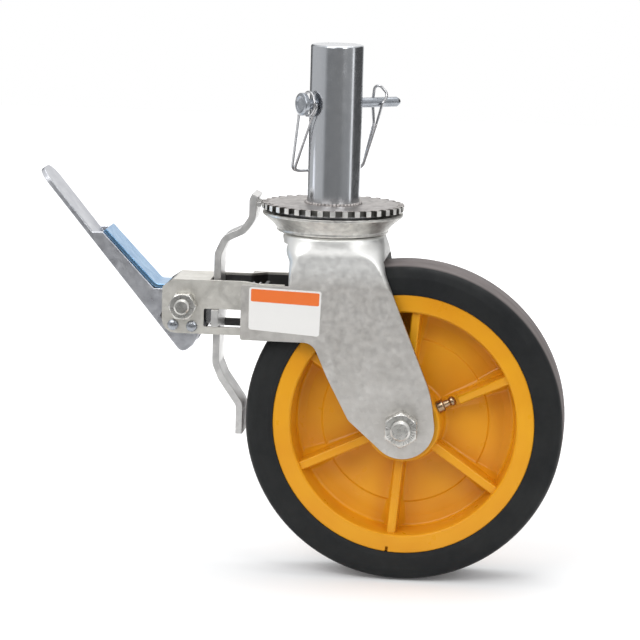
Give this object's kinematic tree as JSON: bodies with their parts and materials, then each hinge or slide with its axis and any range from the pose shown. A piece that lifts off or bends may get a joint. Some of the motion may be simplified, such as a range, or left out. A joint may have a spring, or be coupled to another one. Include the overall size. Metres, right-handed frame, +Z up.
{
  "type": "scaffold castor",
  "caption": "Swivel castor for scaffolding: a round stem with a cross pin, a pressed steel fork, a rubber-tyred wheel and a pedal that brakes the wheel and locks the swivel.",
  "frame": {"origin": "where the swivel axis crosses the top face of the toothed plate", "axes": "+Z up the stem along the swivel axis, +X from the swivel axis towards the wheel, +Y along the wheel's axle to the far side of the fork"},
  "size_m": [0.3396, 0.0938, 0.3398],
  "materials": {
    "zinc_steel": "bright zinc plate with a faint grain",
    "bearing_steel": "ground steel with a film of grease",
    "fastener_zinc": "bright zinc plate",
    "wire_steel": "drawn spring wire",
    "pedal_zinc": "smooth bright zinc plate",
    "bar_zinc": "zinc plate over a bent bar",
    "wheel_plastic": "moulded, soft gloss",
    "tyre_rubber": "smooth moulded rubber",
    "nipple_brass": "dull",
    "label_white": "printed film",
    "label_orange": "printed film"
  },
  "bodies": {
    "stem": {"stem": "zinc_steel", "toothed_plate": "zinc_steel", "upper_race": "bearing_steel", "kingpin": "bearing_steel", "kingpin_nut": "fastener_zinc", "lower_race": "bearing_steel"},
    "fork": {"fork": "zinc_steel", "bearing_cup": "zinc_steel", "swivel_balls": "bearing_steel", "lower_balls": "bearing_steel", "axle_bolt": "fastener_zinc", "axle_nut": "fastener_zinc", "axle_sleeve": "bearing_steel", "near_thrust_washer": "fastener_zinc", "far_thrust_washer": "fastener_zinc", "brake_housing": "zinc_steel", "pivot_bolt": "fastener_zinc", "pivot_nut": "fastener_zinc", "pivot_sleeve": "bearing_steel", "front_stop_pin": "fastener_zinc", "rear_stop_pin": "fastener_zinc", "spring_seat": "zinc_steel", "return_spring": "wire_steel"},
    "wheel": {"wheel_core": "wheel_plastic", "tyre": "tyre_rubber", "roller_bearing": "bearing_steel", "grease_nipple": "nipple_brass"},
    "pedal": {"pedal": "pedal_zinc", "pedal_strap": "pedal_zinc", "cam": "bearing_steel"},
    "brake_bar": {"brake_bar": "bar_zinc"},
    "lock_pin": {"lock_pin": "wire_steel", "pin_clip": "wire_steel"}
  },
  "joints": [
    {"name": "swivel", "type": "hinge", "parent": "stem", "child": "fork", "pos_m": [0, 0, 0], "axis": [0, 0, 1], "continuous": true},
    {"name": "wheel_spin", "type": "hinge", "parent": "fork", "child": "wheel", "pos_m": [0.0504, 0, -0.1372], "axis": [0, 1, 0], "continuous": true},
    {"name": "pedal_hinge", "type": "hinge", "parent": "fork", "child": "pedal", "pos_m": [-0.092, 0, -0.0666], "axis": [0, -1, 0], "range_deg": [0, 30]},
    {"name": "brake_slide", "type": "slide", "parent": "fork", "child": "brake_bar", "axis": [1, 0, 0], "range_m": [0, 0.0022], "deforming": ["return_spring"]},
    {"name": "pin_swing", "type": "hinge", "parent": "stem", "child": "lock_pin", "pos_m": [0, 0, 0.0636], "axis": [0.809, 0.5878, 0], "range_deg": [0, 286]}
  ],
  "couplings": [
    {"joint": "brake_slide", "follows": "pedal_hinge", "m_per_rad": 0.0042}
  ]
}
